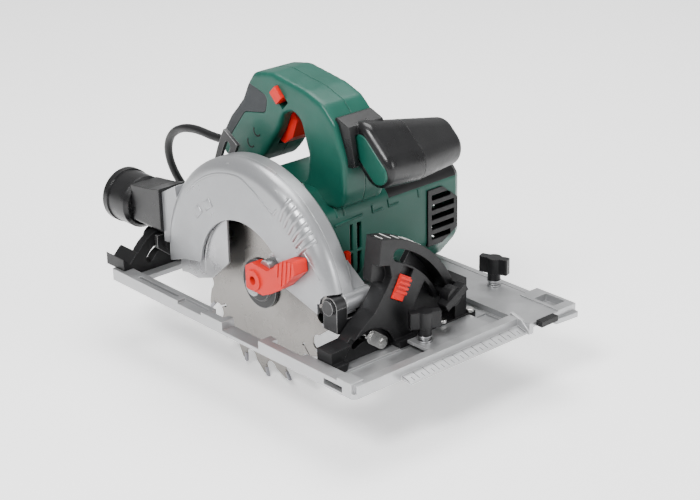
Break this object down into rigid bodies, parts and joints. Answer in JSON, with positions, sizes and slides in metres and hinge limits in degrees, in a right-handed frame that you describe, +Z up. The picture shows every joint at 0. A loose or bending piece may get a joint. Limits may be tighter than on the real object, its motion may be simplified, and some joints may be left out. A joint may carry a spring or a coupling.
{
  "type": "guide-rail circular saw",
  "caption": "Corded hand-held circular saw with a swinging lower guard, on a tilting base plate grooved for a guide rail, with a dust spout and two handles.",
  "frame": {"origin": "on the sole plane, in the middle of the blade's thickness, straight under the arbor", "axes": "+X the cutting direction, +Y from the blade towards the motor, +Z up out of the sole"},
  "size_m": [0.4225, 0.3735, 0.2379],
  "materials": {
    "cast_base": "die-cast, satin",
    "black_plastic": "fine moulded grain",
    "soft_grey": "matte soft grip",
    "green_plastic": "fine moulded grain, dark green",
    "red_plastic": "smooth red",
    "guard_cast": "silver-grey paint on a casting",
    "guard_plate": "light grey plated steel",
    "black_steel": "black coated steel",
    "blade_steel": "ground, circular lay",
    "carbide": "ground carbide",
    "zinc_steel": "bright zinc",
    "steel": "machined",
    "cast_alloy": "as cast",
    "lamination": "dark laminations",
    "copper": "enamelled copper wire",
    "carbon": "carbon",
    "nylon": "glass-filled",
    "cord_rubber": "matte sheath"
  },
  "bodies": {
    "base": {"base_plate": "cast_base", "rail_pads": "black_plastic", "front_sector": "black_plastic", "rear_sector": "black_plastic", "sector_screws": "zinc_steel"},
    "tilt_stop": {"tilt_stop_slider": "red_plastic"},
    "guide_clamp": {"guide_clamp_knob": "black_plastic", "guide_clamp_screw": "steel"},
    "rail_clamp": {"rail_clamp_knob": "black_plastic", "rail_clamp_screw": "steel"},
    "tilt_carriage": {"tilt_frame": "black_steel", "pivot_bracket": "black_steel", "front_guide_plate": "zinc_steel", "depth_guide": "black_steel", "depth_pivot_pin": "black_steel"},
    "front_tilt_clamp": {"front_tilt_knob": "black_plastic"},
    "rear_tilt_clamp": {"rear_tilt_knob": "black_plastic"},
    "saw_head": {"upper_guard_cover": "guard_cast", "guard_housing": "guard_cast", "guard_screws": "zinc_steel", "guard_spring": "steel", "dust_adapter": "black_plastic", "gear_case": "cast_alloy", "bearings": "steel", "motor_housing": "green_plastic", "motor_top_panel": "black_plastic", "vent_frame": "black_plastic", "stator": "lamination", "field_coils": "copper", "carbon_brushes": "carbon", "handle_shell_near": "green_plastic", "handle_shell_far": "green_plastic", "grip_pad": "soft_grey", "handle_screws": "zinc_steel", "switch_body": "nylon", "front_grip_base": "black_plastic", "front_grip_shell": "soft_grey", "front_grip_cap": "green_plastic", "cord_guard": "cord_rubber", "power_cord": "cord_rubber", "cord_coil": "cord_rubber", "plug_body": "cord_rubber", "plug_pins": "zinc_steel"},
    "depth_clamp": {"depth_clamp_lever": "black_plastic"},
    "blade_assembly": {"saw_blade": "blade_steel", "carbide_tips": "carbide", "inner_flange": "steel", "outer_flange": "black_steel", "blade_bolt": "steel", "spindle": "steel", "spindle_gear": "steel"},
    "armature_body": {"armature": "lamination", "fan": "nylon"},
    "lower_guard_body": {"lower_guard": "guard_plate", "guard_lever": "red_plastic"},
    "trigger_body": {"trigger": "red_plastic"},
    "lock_off_body": {"lock_off_button": "red_plastic"},
    "spindle_lock_body": {"spindle_lock_button": "red_plastic"},
    "dust_spout_body": {"dust_spout": "black_plastic"}
  },
  "joints": [
    {"name": "tilt", "type": "hinge", "parent": "base", "child": "tilt_carriage", "pos_m": [0, 0, 0], "axis": [1, 0, 0], "range_deg": [0, 45]},
    {"name": "tilt_stop_slide", "type": "slide", "parent": "base", "child": "tilt_stop", "axis": [0, 0.5, 0.866], "range_m": [0, 0.006]},
    {"name": "guide_clamp_turn", "type": "hinge", "parent": "base", "child": "guide_clamp", "pos_m": [0.1375, 0.042, 0.01], "axis": [0, 0, 1], "range_deg": [-90, 90]},
    {"name": "rail_clamp_turn", "type": "hinge", "parent": "base", "child": "rail_clamp", "pos_m": [0.103, 0.1515, 0.01], "axis": [0, 0, 1], "range_deg": [-90, 90]},
    {"name": "front_tilt_clamp_turn", "type": "hinge", "parent": "tilt_carriage", "child": "front_tilt_clamp", "pos_m": [0.115, 0.07491, 0.03335], "axis": [1, 0, 0], "range_deg": [-60, 60]},
    {"name": "rear_tilt_clamp_turn", "type": "hinge", "parent": "tilt_carriage", "child": "rear_tilt_clamp", "pos_m": [-0.125, -0.00299, 0.02432], "axis": [1, 0, 0], "range_deg": [-60, 60]},
    {"name": "depth", "type": "hinge", "parent": "tilt_carriage", "child": "saw_head", "pos_m": [0.098, 0, 0.041], "axis": [0, 1, 0], "range_deg": [0, 31]},
    {"name": "depth_clamp_turn", "type": "hinge", "parent": "saw_head", "child": "depth_clamp", "pos_m": [-0.07334, 0.015, 0.02601], "axis": [0, 1, 0], "range_deg": [-35, 35]},
    {"name": "blade_spin", "type": "hinge", "parent": "saw_head", "child": "blade_assembly", "pos_m": [0, 0, 0.025], "axis": [0, 1, 0], "continuous": true},
    {"name": "armature_spin", "type": "hinge", "parent": "saw_head", "child": "armature_body", "pos_m": [0, 0, 0.049], "axis": [0, 1, 0], "continuous": true},
    {"name": "lower_guard_swing", "type": "hinge", "parent": "saw_head", "child": "lower_guard_body", "pos_m": [0, 0, 0.025], "axis": [0, 1, 0], "range_deg": [-140, 0], "stiffness_Nm_per_rad": 0.05, "springref_deg": -148.97},
    {"name": "trigger_press", "type": "hinge", "parent": "saw_head", "child": "trigger_body", "pos_m": [-0.012, 0, 0.153], "axis": [0, 1, 0], "range_deg": [0, 9], "stiffness_Nm_per_rad": 0.6},
    {"name": "lock_off_press", "type": "slide", "parent": "saw_head", "child": "lock_off_body", "axis": [0.7071, 0, -0.7071], "range_m": [0, 0.005], "stiffness_N_per_m": 400},
    {"name": "spindle_lock_press", "type": "slide", "parent": "saw_head", "child": "spindle_lock_body", "axis": [-1, 0, 0], "range_m": [0, 0.0035], "stiffness_N_per_m": 500},
    {"name": "dust_spout_turn", "type": "hinge", "parent": "saw_head", "child": "dust_spout_body", "pos_m": [0, -0.002, 0.051], "axis": [1, 0, 0], "continuous": true}
  ],
  "couplings": [
    {"joint": "armature_spin", "follows": "blade_spin", "ratio": -5.4167}
  ]
}
